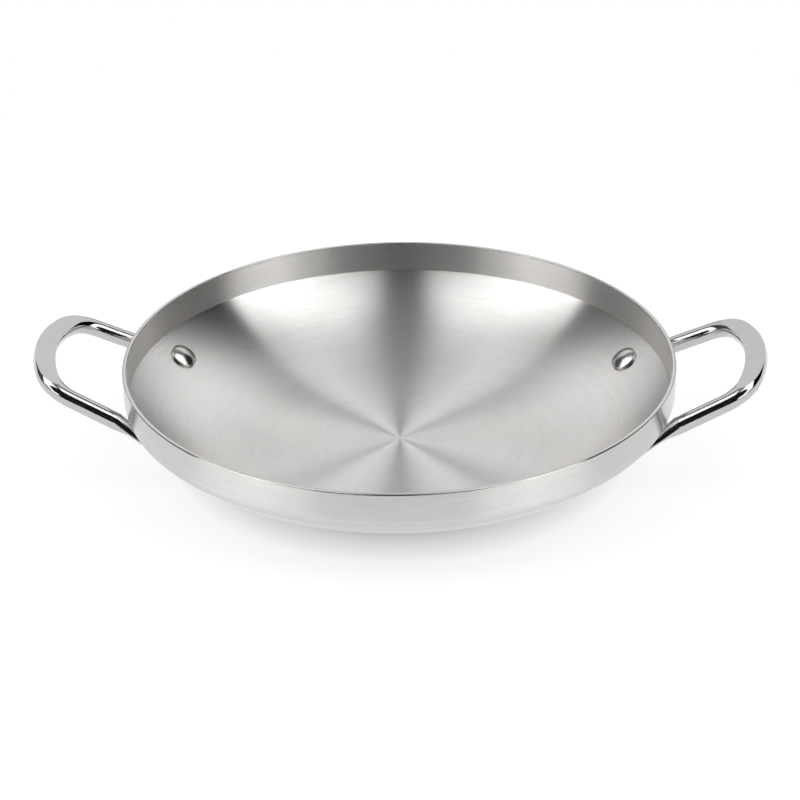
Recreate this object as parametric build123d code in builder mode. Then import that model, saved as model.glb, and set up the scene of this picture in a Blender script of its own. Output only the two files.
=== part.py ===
"""Round two-handled pan: a dished pressed body, two flattened loop handles and four domed rivets."""
import os
from math import asin, cos, radians, sin, sqrt

from build123d import *

# Pan body, in millimetres: +Z is up and the origin is the middle of the base
rim_diameter = 300
sheet_thickness = 2.2
inside_depth = 52.6
band_height = 17.6
floor_diameter = 122
corner_round = 9
crease_round = 0.8

# Rivets
rivet_inset = 14.5
rivet_spacing = 99
shank_diameter = 6
hole_clearance = 0.1
head_diameter = 15.2
head_height = 3.3
head_edge = 1.1
head_lift = 0.3
head_round = 0.5
tail_diameter = 10
tail_height = 1.6

# Handles
rod_diameter = 9.3
rod_roundness = 0.97
grip_width = 11.8
grip_height = 8.4
grip_corner = 3.5
handle_tilt = 25.7
leg_spacing_at_wall = 92
leg_start_inset = 4
leg_start_drop = 19.7
leg_length = 29.6
leg_convergence = 6.9
shoulder_radius = 20.5
crown_turn = 23.7
facet_tilt = 8
facet_reach = 19.5
tab_width = 13.6
tab_thickness = 3
tab_end_radius = 8.2
tab_straight = 6
tab_edge_round = 1.2
tab_allowance = 1.5
seat_gap = 0.1
round_leg_start = 3
station_spacing = 5.3

# Sizes that follow from the pan body
outer_radius = rim_diameter / 2
inner_radius = outer_radius - sheet_thickness
floor_radius = floor_diameter / 2
total_height = inside_depth + sheet_thickness
crease_height = total_height - band_height
slope_run = inner_radius - floor_radius
slope_rise = crease_height - sheet_thickness
bowl_radius = (slope_run ** 2 + slope_rise ** 2) / (2 * slope_rise)
bowl_centre_height = sheet_thickness + bowl_radius

# Sizes that follow from the rivets: the seat is where a rivet's axis meets the inside of the slope
seat_radius = outer_radius - rivet_inset
seat_angle = asin(rivet_spacing / 2 / seat_radius)
seat_slope = asin((seat_radius - floor_radius) / bowl_radius)
seat_height = bowl_centre_height - bowl_radius * cos(seat_slope)
tab_top = -(sheet_thickness + seat_gap)
tab_underside = tab_top - tab_thickness
tab_blank = tab_thickness + tab_allowance
hole_radius = shank_diameter / 2 + hole_clearance
cutter_length = 4 * (sheet_thickness + tab_blank)

# Sizes that follow from the handles
tilt = radians(handle_tilt)
convergence = radians(leg_convergence)
loop_origin = Vector(outer_radius - leg_start_inset, 0, total_height - leg_start_drop)
loop_out = Vector(cos(tilt), 0, sin(tilt))
loop_up = Vector(-sin(tilt), 0, cos(tilt))
loop_plane = Plane(origin=loop_origin, x_dir=loop_out, z_dir=loop_up)
leg_direction = loop_out * cos(convergence) - Vector(0, 1, 0) * sin(convergence)


def seat_plane(side, end):
    """Tangent plane of the inside slope at a rivet: Z along the rivet, X up the slope along the leg."""
    around = Vector(side * cos(seat_angle), end * sin(seat_angle), 0)
    up = Vector(0, 0, 1)
    normal = up * cos(seat_slope) - around * sin(seat_slope)
    along = Vector(side * leg_direction.X, end * leg_direction.Y, leg_direction.Z)
    along = along - normal * along.dot(normal)
    return Plane(origin=around * seat_radius + up * seat_height, x_dir=along, z_dir=normal)


def outer_corner_height(grow):
    """Height at which the dished underside, grown by a gap, meets the upright outer wall."""
    reach = outer_radius + grow - floor_radius
    return bowl_centre_height - sqrt((bowl_radius + sheet_thickness + grow) ** 2 - reach ** 2)


def build_pan_body(seats):
    """The pressed sheet, turned from its section, with a hole for each rivet."""
    rim_middle = total_height - sheet_thickness / 2
    with BuildPart() as body:
        with BuildSketch(Plane.XZ) as section:
            with BuildLine():
                Line((0, 0), (floor_radius, 0))
                TangentArc((floor_radius, 0), (outer_radius, outer_corner_height(0)), tangent=(1, 0))
                Line((outer_radius, outer_corner_height(0)), (outer_radius, rim_middle))
                ThreePointArc(
                    (outer_radius, rim_middle),
                    (outer_radius - sheet_thickness / 2, total_height),
                    (inner_radius, rim_middle),
                )
                Line((inner_radius, rim_middle), (inner_radius, crease_height))
                TangentArc((floor_radius, sheet_thickness), (inner_radius, crease_height), tangent=(1, 0))
                Line((floor_radius, sheet_thickness), (0, sheet_thickness))
                Line((0, sheet_thickness), (0, 0))
            make_face()
            corner = section.vertices().sort_by_distance((outer_radius, outer_corner_height(0)))[0]
            fillet(corner, corner_round)
            crease = section.vertices().sort_by_distance((inner_radius, crease_height))[0]
            fillet(crease, crease_round)
        revolve(axis=Axis.Z)
        for seat in seats:
            with Locations(seat.location):
                Cylinder(hole_radius, cutter_length, mode=Mode.SUBTRACT)
    return body.part


def build_pan_envelope(grow):
    """Everything inside the pan's outer face, grown by a gap: it trims the handles to their seat."""
    with BuildPart() as envelope:
        with BuildSketch(Plane.XZ) as section:
            with BuildLine():
                Line((0, -grow), (floor_radius, -grow))
                TangentArc(
                    (floor_radius, -grow), (outer_radius + grow, outer_corner_height(grow)), tangent=(1, 0)
                )
                Line((outer_radius + grow, outer_corner_height(grow)), (outer_radius + grow, total_height))
                Line((outer_radius + grow, total_height), (0, total_height))
                Line((0, total_height), (0, -grow))
            make_face()
            corner_place = (outer_radius + grow, outer_corner_height(grow))
            corner = section.vertices().sort_by_distance(corner_place)[0]
            fillet(corner, corner_round + grow)
        revolve(axis=Axis.Z)
    return envelope.part


def build_rivet(seat):
    """One rivet: a domed head inside, a shank through sheet and tab, and a low tail underneath."""
    head_radius = head_diameter / 2
    shank_radius = shank_diameter / 2
    tail_radius = tail_diameter / 2
    section_plane = Plane(origin=seat.origin, x_dir=seat.x_dir, z_dir=seat.x_dir.cross(seat.z_dir))
    dome_radius = (head_radius ** 2 + (head_height - head_edge) ** 2) / (2 * (head_height - head_edge))
    tail_curve = (tail_radius ** 2 + tail_height ** 2) / (2 * tail_height)
    with BuildPart() as rivet:
        with BuildSketch(section_plane) as section:
            with BuildLine():
                RadiusArc((0, head_lift + head_height), (head_radius, head_lift + head_edge), dome_radius)
                Polyline(
                    (head_radius, head_lift + head_edge),
                    (head_radius, head_lift),
                    (shank_radius, head_lift),
                    (shank_radius, tab_underside),
                    (tail_radius, tab_underside),
                )
                RadiusArc((tail_radius, tab_underside), (0, tab_underside - tail_height), tail_curve)
                Line((0, tab_underside - tail_height), (0, head_lift + head_height))
            make_face()
            edge = section.vertices().sort_by_distance((head_radius, head_lift + head_edge))[0]
            fillet(edge, head_round)
        revolve(axis=Axis(seat.origin, seat.z_dir))
    return rivet.part


def across_run(centre, direction, up):
    """Plane square to the forging's run, with X across it and Y along the given up direction."""
    return Plane(origin=centre, x_dir=up.cross(direction), z_dir=direction)


def tab_station(seat):
    """Plane and sizes of the tab where it starts to turn into the leg."""
    middle = seat.from_local_coords((tab_straight, 0, tab_underside + tab_blank / 2))
    return across_run(middle, seat.x_dir, seat.z_dir), tab_width, tab_blank, tab_edge_round


def rod_station(place, direction, flattening):
    """Plane and sizes of the rod, from round at 0 to the flattened grip at 1, with its top kept level."""
    round_corner = rod_roundness * rod_diameter / 2
    width = rod_diameter + (grip_width - rod_diameter) * flattening
    height = rod_diameter + (grip_height - rod_diameter) * flattening
    corner = round_corner + (grip_corner - round_corner) * flattening
    middle = place + loop_up * (rod_diameter - height) / 2
    return across_run(middle, direction, loop_up), width, height, corner


def shares_along(length):
    """Even shares of a length, from 0 up to but without 1."""
    count = round(length / station_spacing)
    return [step / count for step in range(count)]


def rod_stations():
    """The rod's sections from the round start of the leg to the middle of the crown."""
    crown_angle = radians(crown_turn)
    shoulder_turn = 90 - crown_turn - leg_convergence
    leg_side = leg_spacing_at_wall / 2
    leg_end_side = leg_side - leg_length * sin(convergence)
    shoulder_end_side = leg_end_side - shoulder_radius * (cos(convergence) - sin(crown_angle))
    with BuildLine(loop_plane):
        leg = Line((0, leg_side), (leg_length * cos(convergence), leg_end_side))
        shoulder = JernArc(leg @ 1, leg % 1, shoulder_radius, -shoulder_turn)
        crown = JernArc(shoulder @ 1, shoulder % 1, shoulder_end_side / sin(crown_angle), -crown_turn)
    start = round_leg_start / leg_length
    stations = []
    for share in shares_along(leg_length - round_leg_start):
        along_leg = start + (1 - start) * share
        stations.append(rod_station(leg @ along_leg, leg % along_leg, 0))
    for share in shares_along(shoulder.length):
        flattening = share * share * (3 - 2 * share)
        stations.append(rod_station(shoulder @ share, shoulder % share, flattening))
    for share in [*shares_along(crown.length), 1]:
        stations.append(rod_station(crown @ share, crown % share, 1))
    return stations


def across_plane_xz(plane):
    """The same station on the other leg, where the run goes back towards the pan."""
    origin = Vector(plane.origin.X, -plane.origin.Y, plane.origin.Z)
    direction = Vector(-plane.z_dir.X, plane.z_dir.Y, -plane.z_dir.Z)
    up = Vector(plane.y_dir.X, -plane.y_dir.Y, plane.y_dir.Z)
    return across_run(origin, direction, up)


def build_right_handle(envelope):
    """A loft runs from tab to tab, then the crown is flattened and the tabs are trimmed to the pan."""
    seats = [seat_plane(1, end) for end in (1, -1)]
    half = [tab_station(seats[0])] + rod_stations()
    run = half + [(across_plane_xz(plane), *sizes) for plane, *sizes in reversed(half[:-1])]
    crown_distance = (half[-1][0].origin - loop_origin).length
    facet_start = crown_distance + grip_width / 2 - facet_reach
    facet_angle = radians(facet_tilt)
    facet_plane = Plane(
        origin=loop_origin + loop_out * facet_start + loop_up * rod_diameter / 2,
        x_dir=loop_out * cos(facet_angle) - loop_up * sin(facet_angle),
        z_dir=loop_up * cos(facet_angle) + loop_out * sin(facet_angle),
    )
    with BuildPart() as handle:
        for stretch in (run[1:-1], run[:2], run[-2:]):
            for plane, width, height, corner in stretch:
                with BuildSketch(plane):
                    RectangleRounded(width, height, corner)
            loft()
        for station, way in ((run[0], -1), (run[-1], 1)):
            plane, width, height, corner = station
            with BuildSketch(plane):
                RectangleRounded(width, height, corner)
            extrude(amount=way * (tab_straight + tab_width / 2 + tab_allowance))
        for seat in seats:
            with BuildSketch(seat):
                Rectangle(2 * tab_width, 2 * tab_width, align=(Align.MAX, Align.CENTER))
                with Locations((tab_end_radius - tab_width / 2, 0)):
                    Circle(tab_end_radius, mode=Mode.SUBTRACT)
            extrude(amount=cutter_length / 2, both=True, mode=Mode.SUBTRACT)
        with Locations(facet_plane.location):
            Box(
                facet_reach + grip_width,
                leg_spacing_at_wall,
                rod_diameter,
                align=(Align.MIN, Align.CENTER, Align.MIN),
                mode=Mode.SUBTRACT,
            )
        add(envelope, mode=Mode.SUBTRACT)
        for seat in seats:
            with Locations(seat.location):
                Cylinder(hole_radius, cutter_length, mode=Mode.SUBTRACT)
    return handle.part


seats = {
    f"{side_name}_{end_name}": seat_plane(side, end)
    for side_name, side in (("left", -1), ("right", 1))
    for end_name, end in (("rear", 1), ("front", -1))
}
os.makedirs("parts", exist_ok=True)

pan_body = build_pan_body(seats.values())
pan_body.label = "pan_body"
export_step(pan_body, "parts/pan_body.step")

right_handle = build_right_handle(build_pan_envelope(seat_gap))
right_handle.label = "right_handle"
export_step(right_handle, "parts/right_handle.step")

with BuildPart() as left_handle:
    mirror(right_handle, about=Plane.YZ)
left_handle.part.label = "left_handle"
export_step(left_handle.part, "parts/left_handle.step")

for place, seat in seats.items():
    rivet = build_rivet(seat)
    rivet.label = f"{place}_rivet"
    export_step(rivet, f"parts/{place}_rivet.step")
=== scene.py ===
# %% [markdown]
# A round two-handled pan for stews that are cooked and shared at the table.
# Its solids come ready made: the pressed pan body, two looped handles and four rivets.
# The lesson is about metal: how a brushed sheet, a polished rod and a satin grip each throw back
# the same plain studio. The body is turned again here, finely enough for its reflections.

import math

import bpy
from mathutils import Matrix, Vector


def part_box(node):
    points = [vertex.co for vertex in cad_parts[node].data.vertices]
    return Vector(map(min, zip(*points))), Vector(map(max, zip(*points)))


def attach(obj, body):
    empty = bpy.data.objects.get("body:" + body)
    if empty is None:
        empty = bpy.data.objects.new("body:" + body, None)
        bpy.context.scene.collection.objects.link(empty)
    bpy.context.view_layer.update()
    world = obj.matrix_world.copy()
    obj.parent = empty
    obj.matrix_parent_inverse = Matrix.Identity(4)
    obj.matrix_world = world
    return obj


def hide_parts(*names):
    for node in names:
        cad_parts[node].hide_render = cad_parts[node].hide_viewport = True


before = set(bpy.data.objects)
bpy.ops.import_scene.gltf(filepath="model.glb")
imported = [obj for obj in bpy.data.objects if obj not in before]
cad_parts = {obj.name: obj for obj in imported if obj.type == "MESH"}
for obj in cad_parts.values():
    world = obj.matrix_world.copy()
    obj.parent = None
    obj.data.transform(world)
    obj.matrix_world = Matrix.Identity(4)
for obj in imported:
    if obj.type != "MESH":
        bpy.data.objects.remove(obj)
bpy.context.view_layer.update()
bpy.ops.object.select_all(action="DESELECT")
print("solids:", sorted(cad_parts))

# %% [markdown]
# The finishes follow the shape, so the shape is measured first.
# A pan body is a turned thing: a radius and a height say where its floor, slope, wall and rim are.
# The main sizes could be typed in, but read from the solid's own box they can't drift away from it.

# %% Sizes of the pan
pan_low, pan_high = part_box("pan_body")
rim_radius = (pan_high.x - pan_low.x) / 2
rim_height = pan_high.z
sheet_thickness = 0.0022
crease_height = rim_height - 0.0176
inner_radius = rim_radius - sheet_thickness
print("rim radius", round(rim_radius, 4), "rim height", round(rim_height, 4))

# %% [markdown]
# The body is one sheet pressed to shape: a flat floor, a wide curved slope, a tight bend, and an
# upright wall that ends in a narrow flat rim. On the solid's own mesh the reflections break up at
# its facets, so the body is drawn again. Its section could be a long list of points. Drawn as a
# template maker would, with straight cuts and arcs about their centres, it needs few sizes.

# %% Sizes of the section
floor_radius = 0.061
slope_to_depth = 2.323
slope_radius = rim_height * slope_to_depth
slope_centre = (floor_radius, slope_radius)
bend_radius = 0.009
crease_radius = 0.0008
outer_rounding = 0.0009
inner_rounding = 0.0004
quarter_turn = math.pi / 2
print("slope radius", round(slope_radius, 4))

# %% [markdown]
# Two operators draw the whole section. Extruding the last point and moving it makes a straight cut,
# and spinning it about a centre makes an arc. Each starts where the last one ended, so the end is
# kept in a list. The bend's centre is worked out, because there the arcs must meet smoothly.


# %% Cuts and arcs
section_end = [0.0, 0.0]


def cut_to(x, z):
    """Carry the end of the section straight to a place."""
    bpy.ops.mesh.extrude_region_move(
        TRANSFORM_OT_translate={"value": (x - section_end[0], 0.0, z - section_end[1])}
    )
    section_end[:] = [x, z]


def swing_about(centre, angle, steps):
    """Carry the end of the section along an arc, outwards and up where the angle is above 0."""
    bpy.ops.mesh.spin(steps=steps, angle=angle, center=(centre[0], 0.0, centre[1]), axis=(0.0, 1.0, 0.0))
    across, up = section_end[0] - centre[0], section_end[1] - centre[1]
    section_end[0] = centre[0] + across * math.cos(angle) - up * math.sin(angle)
    section_end[1] = centre[1] + across * math.sin(angle) + up * math.cos(angle)


def bend_between(wall_radius, curve_radius, small_radius):
    """Centre of the small bend from a curved slope to an upright wall, and the slope's swing."""
    reach = wall_radius - small_radius - floor_radius
    drop = math.sqrt((curve_radius - small_radius) ** 2 - reach**2)
    return (wall_radius - small_radius, slope_radius - drop), math.atan2(reach, drop)


bend_centre, outer_swing = bend_between(rim_radius, slope_radius, bend_radius)
crease_centre, inner_swing = bend_between(inner_radius, slope_radius - sheet_thickness, crease_radius)
print("the slope swings", round(math.degrees(outer_swing), 2), "degrees outside")

# %% [markdown]
# The section starts at the middle of the underside, goes out and up round the rim, and comes back
# inside to the middle of the floor. A single point to start from is a small plane merged into one.

# %% Draw the section
bpy.ops.mesh.primitive_plane_add(size=0.01)
turned_pan = bpy.context.object
turned_pan.name = "turned_pan"
bpy.ops.object.mode_set(mode="EDIT")
bpy.ops.mesh.merge(type="CENTER")

cut_to(floor_radius, 0.0)
swing_about(slope_centre, outer_swing, steps=40)
swing_about(bend_centre, quarter_turn - outer_swing, steps=12)
cut_to(rim_radius, rim_height - outer_rounding)
swing_about((rim_radius - outer_rounding, rim_height - outer_rounding), quarter_turn, steps=8)
cut_to(inner_radius + inner_rounding, rim_height)
swing_about((inner_radius + inner_rounding, rim_height - inner_rounding), quarter_turn, steps=6)
cut_to(inner_radius, crease_centre[1])
swing_about(crease_centre, inner_swing - quarter_turn, steps=6)
swing_about(slope_centre, -inner_swing, steps=40)
cut_to(0.0, sheet_thickness)
print("section ends at", [round(value * 1000, 3) for value in section_end], "mm")

# %% [markdown]
# A real pan like this one is pressed between round tools, so it is round all over. A Screw modifier
# could make it from the section, and so does spin, which stays in edit mode. The points on the axis
# become doubles, which are merged, and then the faces are told to point outwards.

# %% Turn the section once round
bpy.ops.mesh.select_all(action="SELECT")
bpy.ops.mesh.spin(steps=360, angle=math.tau, center=(0.0, 0.0, 0.0), axis=(0.0, 0.0, 1.0))
bpy.ops.mesh.select_all(action="SELECT")
bpy.ops.mesh.remove_doubles(threshold=0.00001)
bpy.ops.mesh.normals_make_consistent(inside=False)
bpy.ops.object.mode_set(mode="OBJECT")
bpy.ops.object.shade_smooth()
bpy.ops.object.select_all(action="DESELECT")
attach(turned_pan, "root")
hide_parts("pan_body")
print("turned pan:", len(turned_pan.data.polygons), "faces,", [round(v, 4) for v in turned_pan.dimensions])

# %% [markdown]
# A finish is a small recipe of nodes. Written out one by one, the nodes would hide the recipe, so
# short helpers add a node, do a step of arithmetic, fade between two edges and mix.


# %% Helpers for nodes
def feed(tree, socket, value):
    """Join another node's result to a socket, or set the socket to a plain value."""
    if isinstance(value, bpy.types.NodeSocket):
        tree.links.new(value, socket)
    else:
        socket.default_value = value


def add_node(tree, kind, inputs=None, **settings):
    """A new node with its settings, and with values or results for its inputs."""
    node = tree.nodes.new(kind)
    for name, value in settings.items():
        setattr(node, name, value)
    for name, value in (inputs or {}).items():
        feed(tree, node.inputs[name], value)
    return node


def arithmetic(tree, operation, *values):
    """The result of one step of arithmetic."""
    return add_node(tree, "ShaderNodeMath", dict(enumerate(values)), operation=operation).outputs[0]


def smooth_step(tree, value, start, end):
    """0 before start, 1 past end and a smooth change between them. It also runs downwards."""
    limits = {"Value": value, "From Min": start, "From Max": end, "To Min": 0.0, "To Max": 1.0}
    return add_node(tree, "ShaderNodeMapRange", limits, interpolation_type="SMOOTHSTEP").outputs["Result"]


def mix_numbers(tree, share, first, second):
    """first where share is 0, second where it is 1."""
    return add_node(tree, "ShaderNodeMix", {0: share, 2: first, 3: second}, data_type="FLOAT").outputs[0]


def mix_colours(tree, share, first, second, blend="MIX"):
    """first where share is 0, and second, or both blended, where it is 1."""
    inputs = {0: share, 6: first, 7: second}
    return add_node(tree, "ShaderNodeMix", inputs, data_type="RGBA", blend_type=blend).outputs[2]


print("helpers for nodes are ready")

# %% [markdown]
# No metal is equally smooth all over: its finish wanders a little round a level. One helper gives
# plain noise at a point, and one lets a level wander with it. All the finishes are bare metal, so
# one more starts each material in the same way.


# %% Helpers for finishes
def noise_at(tree, position, scale, detail, roughness=0.5):
    """Noise in every direction alike."""
    inputs = {"Vector": position, "Scale": scale, "Detail": detail, "Roughness": roughness}
    return add_node(tree, "ShaderNodeTexNoise", inputs).outputs["Fac"]


def wandering(tree, level, reach, noise):
    """A level that noise raises by up to its reach."""
    return arithmetic(tree, "MULTIPLY_ADD", noise, reach, level)


def new_metal(name):
    """An empty material with a metal shader joined to its output."""
    material = bpy.data.materials.new(name)
    material.use_nodes = True
    tree = material.node_tree
    tree.nodes.clear()
    shader = add_node(tree, "ShaderNodeBsdfPrincipled", {"Metallic": 1.0})
    add_node(tree, "ShaderNodeOutputMaterial", {"Surface": shader.outputs[0]})
    return material, tree, shader


print("helpers for finishes are ready")

# %% [markdown]
# The pan is turned against an abrasive belt, so its scratches run round the middle.
# Light spreads across scratches and hardly along them, which gives the fan of bright and dark
# sectors that all meet in the centre. A plain rough metal can't do that. The fan could be painted on,
# but it would then turn with the pan, so the shader is told the direction of the scratches, worked
# out from the place of each point, and makes the fan by itself.


# %% Places and scratches on turned sheet
def turned_place(tree):
    """Radius, height, direction round the middle, and how far a point of the sheet faces up."""
    places = add_node(tree, "ShaderNodeTexCoord")
    x, y, height = add_node(tree, "ShaderNodeSeparateXYZ", {0: places.outputs["Object"]}).outputs
    facing_up = add_node(tree, "ShaderNodeSeparateXYZ", {0: places.outputs["Normal"]}).outputs["Z"]
    radius = arithmetic(
        tree, "SQRT", arithmetic(tree, "MULTIPLY_ADD", x, x, arithmetic(tree, "MULTIPLY", y, y))
    )
    minus_y = arithmetic(tree, "MULTIPLY", y, -1.0)
    around = add_node(tree, "ShaderNodeCombineXYZ", {"X": minus_y, "Y": x, "Z": 0.0}).outputs[0]
    around = add_node(tree, "ShaderNodeVectorMath", {0: around}, operation="NORMALIZE").outputs[0]
    return radius, height, around, facing_up


def turned_noise(tree, place, lines_per_metre, turns, detail):
    """Noise in strokes round the middle. The more turns, the shorter the strokes."""
    radius, height, around, _ = place
    circle = add_node(tree, "ShaderNodeVectorMath", {0: around, "Scale": turns}, operation="SCALE")
    across = arithmetic(tree, "MULTIPLY", arithmetic(tree, "ADD", radius, height), lines_per_metre)
    inputs = {"Vector": circle.outputs[0], "W": across, "Scale": 1.0, "Detail": detail, "Roughness": 0.6}
    return add_node(tree, "ShaderNodeTexNoise", inputs, noise_dimensions="4D").outputs["Fac"]


print("helpers for turned sheet are ready")

# %% [markdown]
# One sheet, four finishes: brushed inside, more coarsely up the inner wall than on the slope, a
# closer brush outside, and a buffed edge on the rim. Each could be a material of its own, with a
# hard border between them. On the real pan they run into each other, so one material changes its
# roughness with radius and height.

# %% Roughness of the sheet
floor_roughness, slope_roughness, slope_scatter = 0.38, 0.25, 0.03
wall_roughness, wall_scatter = 0.42, 0.05
outside_roughness, outside_scatter = 0.28, 0.06
edge_roughness = 0.22


def sheet_roughness(tree, place, scratches, outside, edge):
    """How rough each part of the sheet is."""
    radius, height, _, _ = place
    up_the_slope = smooth_step(tree, radius, 0.075, 0.13)
    bowl_level = mix_numbers(tree, up_the_slope, floor_roughness, slope_roughness)
    bowl = wandering(tree, bowl_level, slope_scatter, scratches)
    wall = wandering(tree, wall_roughness, wall_scatter, scratches)
    past_crease = smooth_step(tree, height, crease_height - 0.0002, crease_height + 0.0002)
    inside = mix_numbers(tree, past_crease, bowl, wall)
    outer = wandering(tree, outside_roughness, outside_scatter, scratches)
    rough = mix_numbers(tree, outside, inside, outer)
    return mix_numbers(tree, edge, rough, edge_roughness)


print("roughness of the sheet: floor", floor_roughness, "slope", slope_roughness, "wall", wall_roughness)

# %% [markdown]
# Seen close, brushed steel isn't one grey. Broad turning marks and cloudy patches shade it a little,
# and single strokes of the belt stand out lighter or darker. Outside the finish is a little duller, and
# round the bend it gets painted shade, deepest on the underside, where it stands for the shadowed table.

# %% Colour of the sheet
steel_colour = (0.80, 0.785, 0.77)
rim_colour = (0.63, 0.62, 0.61, 1.0)
# A duller finish on the outer wall, and painted shade for the bend and the underside.
dull_finish_and_bend_shade, painted_underside_shade = 0.86, 0.5


def sheet_colour(tree, place, outside, edge):
    """The sheet's grey, with marks, patches and strokes, a duller finish outside, and painted shade round
    the bend and below.
    """
    facing_up = place[3]
    marks = turned_noise(tree, place, lines_per_metre=260.0, turns=0.8, detail=2.0)
    patches = turned_noise(tree, place, lines_per_metre=30.0, turns=1.6, detail=1.0)
    strokes = turned_noise(tree, place, lines_per_metre=2000.0, turns=7.0, detail=2.0)
    tint = arithmetic(tree, "MULTIPLY_ADD", marks, 0.6, arithmetic(tree, "MULTIPLY", patches, 0.4))
    dark, light = (tuple(part * level for part in steel_colour) + (1.0,) for level in (0.975, 1.015))
    colour = mix_colours(tree, smooth_step(tree, tint, 0.3, 0.7), dark, light)
    stroke_shade = mix_numbers(tree, smooth_step(tree, strokes, 0.3, 0.7), 0.97, 1.05)
    colour = mix_colours(tree, 1.0, colour, stroke_shade, blend="MULTIPLY")

    # Painted shade: outside, the colour is half dulled on the wall and fully darkened as the sheet faces
    # down round the bend.
    bend = smooth_step(tree, facing_up, 0.0, -0.6)
    # Painted shade: the underside, which faces the table, is darkened to stand for the shadowed table it
    # mirrors.
    underside = smooth_step(tree, facing_up, -0.80, -0.88)
    outer_part = mix_numbers(tree, bend, arithmetic(tree, "MULTIPLY", outside, 0.5), 1.0)
    outer_shade = mix_numbers(tree, outer_part, 1.0, dull_finish_and_bend_shade)
    lower_shade = mix_numbers(tree, underside, 1.0, painted_underside_shade)
    shade = arithmetic(tree, "MULTIPLY", outer_shade, lower_shade)
    colour = mix_colours(tree, 1.0, colour, shade, blend="MULTIPLY")
    return mix_colours(tree, edge, colour, rim_colour)


print("colour of the sheet", steel_colour)

# %% [markdown]
# The scratches themselves are far finer than the strokes that stand out. They are too small to
# model, so a bump tilts the light by them, and hardly at all on the buffed rim.

# %% Brushed sheet
scratch_depth = 0.00002
scratch_strength, edge_scratch_strength = 0.2, 0.02


def make_brushed_sheet():
    """Turned and brushed sheet, with a buffed rim edge."""
    material, tree, shader = new_metal("brushed_sheet")
    place = turned_place(tree)
    radius, height, around, _ = place
    scratches = turned_noise(tree, place, lines_per_metre=3400.0, turns=2.0, detail=3.0)
    edge = smooth_step(tree, height, rim_height - 0.0010, rim_height - 0.0007)
    outside = smooth_step(tree, radius, rim_radius - 0.0012, rim_radius - 0.0008)
    strength = mix_numbers(tree, edge, scratch_strength, edge_scratch_strength)
    relief = {"Strength": strength, "Distance": scratch_depth, "Height": scratches}
    feed(tree, shader.inputs["Base Color"], sheet_colour(tree, place, outside, edge))
    feed(tree, shader.inputs["Roughness"], sheet_roughness(tree, place, scratches, outside, edge))
    feed(tree, shader.inputs["Normal"], add_node(tree, "ShaderNodeBump", relief).outputs[0])
    feed(tree, shader.inputs["Tangent"], around)
    shader.inputs["Anisotropic"].default_value = 1.0
    shader.inputs["Anisotropic Rotation"].default_value = 0.25
    return material


brushed_sheet = make_brushed_sheet()
print("made", brushed_sheet.name)

# %% [markdown]
# The handles are bent rod, polished all round, and then ground flat on top of the grip.
# The grinding leaves a satin face with a crisp border. The faces could be picked by hand, but the
# plane of the ground face finds them: a point in the plane is satin, and all others lie under it.
# The handle rises outwards by one angle, and the ground face is tipped back by another.

# %% Plane of the ground face
handle_rise, face_tip = 25.7, 8.0
face_slope = math.radians(handle_rise - face_tip)
face_normal = Vector((-math.sin(face_slope), 0.0, math.cos(face_slope)))
handle_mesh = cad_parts["right_handle"].data
face_level = max(vertex.co.dot(face_normal) for vertex in handle_mesh.vertices)
print("plane of the ground face", round(face_level * 1000, 3), "mm from the origin")

# %% [markdown]
# Buffed rod is nearly a mirror, with a slight haze and faint lines along its length. The ground face
# is satin, with a fine grain and soft waves from the hand that held it to the belt. One material
# holds both, since they meet on one surface, and each handle has its own, as its plane is mirrored.

# %% Polished rod with a ground grip
rod_colour = (0.54, 0.535, 0.53, 1.0)
satin_colour = (0.57, 0.56, 0.55, 1.0)
rod_roughness, rod_haze = 0.035, 0.05
satin_roughness, satin_scatter = 0.26, 0.12


def make_polished_rod(name, side):
    """Polished rod for the handle on one side, 1 for right and -1 for left."""
    material, tree, shader = new_metal(name)
    position = add_node(tree, "ShaderNodeTexCoord").outputs["Object"]
    normal = (side * face_normal.x, 0.0, face_normal.z)
    level = add_node(tree, "ShaderNodeVectorMath", {0: position, 1: normal}, operation="DOT_PRODUCT")
    ground = smooth_step(tree, level.outputs["Value"], face_level - 0.00006, face_level - 0.00002)

    along = add_node(tree, "ShaderNodeMapping", {"Vector": position, "Scale": (40.0, 1500.0, 1500.0)})
    lines = noise_at(tree, along.outputs[0], scale=1.0, detail=2.0)
    grain = noise_at(tree, position, scale=900.0, detail=3.0, roughness=0.6)
    polished = wandering(tree, rod_roughness, rod_haze, noise_at(tree, position, scale=45.0, detail=2.0))
    satin = wandering(tree, satin_roughness, satin_scatter, grain)
    fine_relief = {"Strength": 0.12, "Distance": 0.00002, "Height": mix_numbers(tree, ground, lines, grain)}
    soft_relief = {
        "Strength": mix_numbers(tree, ground, 0.0, 0.5),
        "Distance": 0.0006,
        "Height": noise_at(tree, position, scale=55.0, detail=1.0),
        "Normal": add_node(tree, "ShaderNodeBump", fine_relief).outputs[0],
    }
    feed(tree, shader.inputs["Base Color"], mix_colours(tree, ground, rod_colour, satin_colour))
    feed(tree, shader.inputs["Roughness"], mix_numbers(tree, ground, polished, satin))
    feed(tree, shader.inputs["Normal"], add_node(tree, "ShaderNodeBump", soft_relief).outputs[0])
    return material


polished_rod = {
    "right_handle": make_polished_rod("polished_rod_right", 1.0),
    "left_handle": make_polished_rod("polished_rod_left", -1.0),
}
print("made", sorted(material.name for material in polished_rod.values()))

# %% [markdown]
# Rivet heads are pressed, then tumbled smooth with many others. They mirror the pan as the rod does,
# but a little softer, and small knocks leave a haze that a plain even roughness would miss.

# %% Tumbled rivets
rivet_roughness, rivet_haze = 0.15, 0.10
rivet_dark = (0.56, 0.55, 0.54, 1.0)
rivet_light = (0.64, 0.63, 0.62, 1.0)


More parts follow.
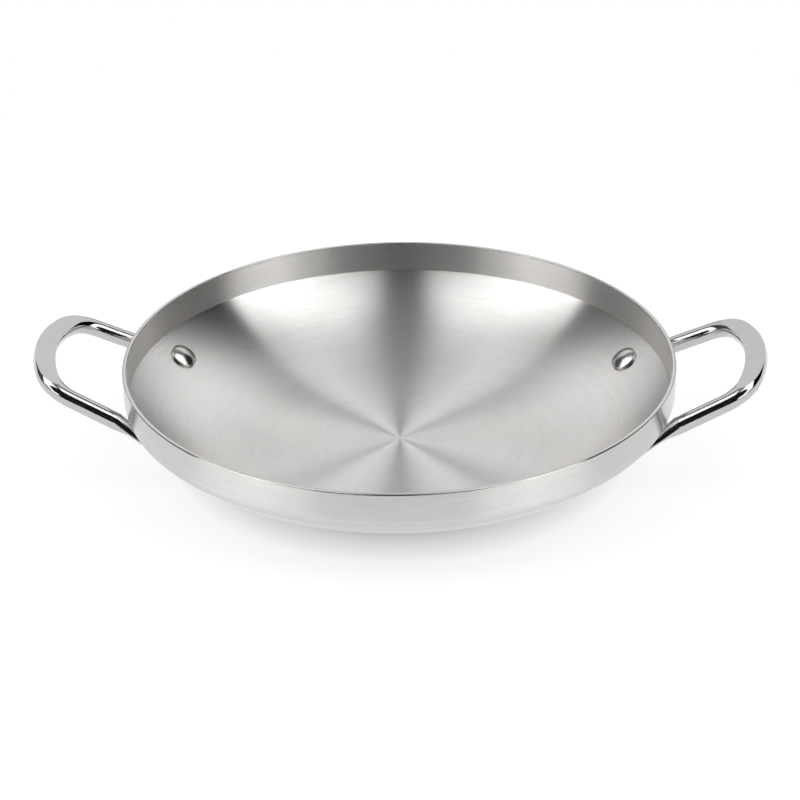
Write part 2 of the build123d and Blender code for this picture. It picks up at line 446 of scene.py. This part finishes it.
def make_tumbled_rivet():
    """Smooth metal with a slight haze."""
    material, tree, shader = new_metal("tumbled_rivet")
    position = add_node(tree, "ShaderNodeTexCoord").outputs["Object"]
    haze = noise_at(tree, position, scale=320.0, detail=3.0)
    feed(tree, shader.inputs["Base Color"], mix_colours(tree, haze, rivet_dark, rivet_light))
    feed(tree, shader.inputs["Roughness"], wandering(tree, rivet_roughness, rivet_haze, haze))
    return material


tumbled_rivet = make_tumbled_rivet()
print("made", tumbled_rivet.name)

# %% [markdown]
# The handles and rivets keep their own solids, whose shapes are already right, and only get a new
# finish. The pan body's solid isn't seen, so its finish goes on the turned pan.


# %% Give each piece its finish
def dress(piece, material):
    """Put one finish on a piece."""
    piece.data.materials.clear()
    piece.data.materials.append(material)


for node_name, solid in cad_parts.items():
    if node_name in polished_rod:
        dress(solid, polished_rod[node_name])
    elif node_name.endswith("_rivet"):
        dress(solid, tumbled_rivet)
dress(turned_pan, brushed_sheet)
print("dressed", len(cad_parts), "pieces")

# %% [markdown]
# Polished metal has no look of its own: it shows the room. A product studio has a pale sweep behind
# the object, large soft lights above it, left and right, and a dim room on the camera's side.
# Lamps and screens could be set up for it. Here the world is that room, told by direction alone,
# because then every reflection stays as even as it is in a large studio.
# X is right, Y is back and Z is up, and each light is a patch of directions with soft edges.


# %% Directions in the room
world = bpy.data.worlds.new("studio")
bpy.context.scene.world = world
world.use_nodes = True
room = world.node_tree
room.nodes.clear()

direction = add_node(room, "ShaderNodeTexCoord").outputs["Generated"]
rightwards, backwards, upwards = add_node(room, "ShaderNodeSeparateXYZ", {0: direction}).outputs
sideways = arithmetic(room, "ABSOLUTE", rightwards)


def away_from(middle):
    """How far a direction points to either side of a middle."""
    return arithmetic(room, "ABSOLUTE", arithmetic(room, "SUBTRACT", rightwards, middle))


def lit_part(*sides):
    """1 where every side is past its edge. A side is a value, where it fades in and where it is full."""
    share = 1.0
    for value, start, end in sides:
        share = arithmetic(room, "MULTIPLY", share, smooth_step(room, value, start, end))
    return share


print("the world is", world.name)

# %% [markdown]
# What isn't lit matters as much as what is. The black stripes on the handles and the dark sectors in
# the pan are the unlit studio. It is darkest far to the right and behind the camera, a little lighter
# on the left, and lightest in the gap straight up, between the two lights.

# %% Dim parts
gap_light, dim_light, dark_side_light, front_light = 0.28, 0.09, 0.0, 0.015

dim_sides = mix_numbers(room, smooth_step(room, rightwards, 0.0, 0.5), dim_light, dark_side_light)
dim_room = mix_numbers(room, smooth_step(room, sideways, 0.15, 0.4), gap_light, dim_sides)
dim_room = mix_numbers(room, smooth_step(room, backwards, -0.5, 0.0), front_light, dim_room)
print("dim parts from", dark_side_light, "to", gap_light)

# %% [markdown]
# The sweep is the pale paper behind the pan. It lights the near half of the brushed floor. It is
# bright high up, where light falls on it, and duller near the table and towards its sides.

# %% The sweep
sweep_light, sweep_side_light, sweep_low_light = 1.2, 0.95, 0.4

spread = arithmetic(room, "DIVIDE", sideways, arithmetic(room, "MAXIMUM", backwards, 0.001))
sweep = lit_part((upwards, 0.89, 0.64), (spread, 1.4, 1.05))
sweep_high = mix_numbers(room, smooth_step(room, sideways, 0.2, 0.5), sweep_light, sweep_side_light)
sweep_strength = mix_numbers(room, smooth_step(room, upwards, 0.1, 0.6), sweep_low_light, sweep_high)
print("sweep", sweep_light)

# %% [markdown]
# Two soft lights hang over the pan, with a gap between them that draws the dark band down the
# middle of the brushed floor. Their back edges slant along the way that the scratches spread light,
# and so the bright sectors get a crisp side, where every other edge is blurred. Each light comes
# down at its outer side, and a low panel stands under it for the bright ends of the far wall.

# %% The soft lights
softbox_light = 1.85

gap_edge = arithmetic(room, "MULTIPLY_ADD", backwards, -0.18, away_from(-0.015))
front_edge = arithmetic(room, "MULTIPLY_ADD", sideways, 0.2, backwards)
slanting_edge = arithmetic(room, "MULTIPLY_ADD", backwards, 0.94, away_from(-0.04))
behind_slant = (slanting_edge, 0.815, 0.785)

overhead = lit_part(
    (gap_edge, 0.10, 0.18),
    (front_edge, -0.36, -0.28),
    (backwards, 0.20, 0.16),
    (upwards, 0.1, 0.2),
    behind_slant,
)
outer_side = lit_part(
    (sideways, 0.66, 0.74),
    (backwards, -0.82, -0.74),
    (upwards, 0.15, 0.25),
    behind_slant,
)
low_panel = lit_part(
    (sideways, 0.34, 0.42),
    (sideways, 0.92, 0.80),
    (backwards, -0.88, -0.78),
    (upwards, 0.0, 0.06),
    (upwards, 0.32, 0.26),
    behind_slant,
)
studio = mix_numbers(room, sweep, dim_room, sweep_strength)
for soft_light in (low_panel, outer_side, overhead):
    studio = mix_numbers(room, soft_light, studio, softbox_light)
print("soft lights", softbox_light)

# %% [markdown]
# A camera that looks past the pan should see plain white, not the studio. More light could bleach
# the background, but it would bleach the pan too. So the kind of ray decides: camera rays get white,
# rays that bounced off metal get the studio, and only under the horizon do they get that white.

# %% What each ray sees
white = (1.0, 1.0, 1.0, 1.0)

rays = add_node(room, "ShaderNodeLightPath").outputs
under_horizon = smooth_step(room, upwards, 0.0, -0.03)
metal_sees_white = arithmetic(room, "MULTIPLY", rays["Is Glossy Ray"], under_horizon)
straight_ray = arithmetic(room, "MAXIMUM", rays["Is Camera Ray"], rays["Is Transmission Ray"])
sees_white = arithmetic(room, "MAXIMUM", straight_ray, metal_sees_white)
strength = mix_numbers(room, sees_white, studio, 1.0)
background = add_node(room, "ShaderNodeBackground", {"Color": white, "Strength": strength})
add_node(room, "ShaderNodeOutputWorld", {"Surface": background.outputs[0]})
print("the room is lit")

# %% [markdown]
# The pan stands on a table, which isn't part of it. A disc is enough, as only its middle is seen.

# %% Table top
bpy.ops.mesh.primitive_circle_add(vertices=128, radius=0.6, fill_type="NGON")
table_top = bpy.context.object
table_top.name = "table_top"
bpy.ops.object.select_all(action="DESELECT")
print("table top laid,", round(table_top.dimensions.x, 2), "m across")

# %% [markdown]
# The table is white. A matt colour alone would come out grey under this studio, and a table that
# only shines would take no shadow. So it does both: the matt part catches the pan's wide soft
# shadow, and the light of its own fades where the pan comes close, as a contact shadow does.

# %% White of the table
table_grey = (0.32, 0.32, 0.32, 1.0)
table_own_light = 0.8
contact_reach = 0.016
contact_softness = 0.27

white_table = bpy.data.materials.new("white_table")
white_table.use_nodes = True
table_tree = white_table.node_tree
table_tree.nodes.clear()
near = add_node(table_tree, "ShaderNodeAmbientOcclusion", {"Distance": contact_reach}, samples=8)
openness = arithmetic(table_tree, "POWER", near.outputs["AO"], contact_softness)
own_light = arithmetic(table_tree, "MULTIPLY", openness, table_own_light)
matt = add_node(table_tree, "ShaderNodeBsdfDiffuse", {"Color": table_grey})
glow = add_node(table_tree, "ShaderNodeEmission", {"Color": white, "Strength": own_light})
both = add_node(table_tree, "ShaderNodeAddShader", {0: matt.outputs[0], 1: glow.outputs[0]})
add_node(table_tree, "ShaderNodeOutputMaterial", {"Surface": both.outputs[0]})
dress(table_top, white_table)
print("made", white_table.name)

# %% [markdown]
# The camera stands where the photograph was taken: a little over a metre away, looking down on the
# pan with a long lens, so that the round rim shows as a flat ellipse and both handles rise.
# It could be aimed by an empty object. Built from turns and a distance, each number means one thing.

# %% Camera
camera_distance = 1.140
camera_elevation = math.radians(26.98)
camera_pitch = math.radians(28.25)
camera_turn = math.radians(2.5)
camera_roll = math.radians(0.8)
camera_shift_right = 0.0002

camera_data = bpy.data.cameras.new("camera")
camera_data.lens = 94.2
camera_data.sensor_width = 36.0
camera = bpy.data.objects.new("camera", camera_data)
bpy.context.scene.collection.objects.link(camera)
towards_viewer = camera_distance * math.cos(camera_elevation)
above_rim = camera_distance * math.sin(camera_elevation)
camera.matrix_world = (
    Matrix.Rotation(camera_turn, 4, "Z")
    @ Matrix.Translation((camera_shift_right, -towards_viewer, rim_height + above_rim))
    @ Matrix.Rotation(math.pi / 2 - camera_pitch, 4, "X")
    @ Matrix.Rotation(-camera_roll, 4, "Z")
)
bpy.context.scene.camera = camera
bpy.context.scene.view_settings.view_transform = "Standard"
print("camera at", [round(value, 3) for value in camera.matrix_world.translation])
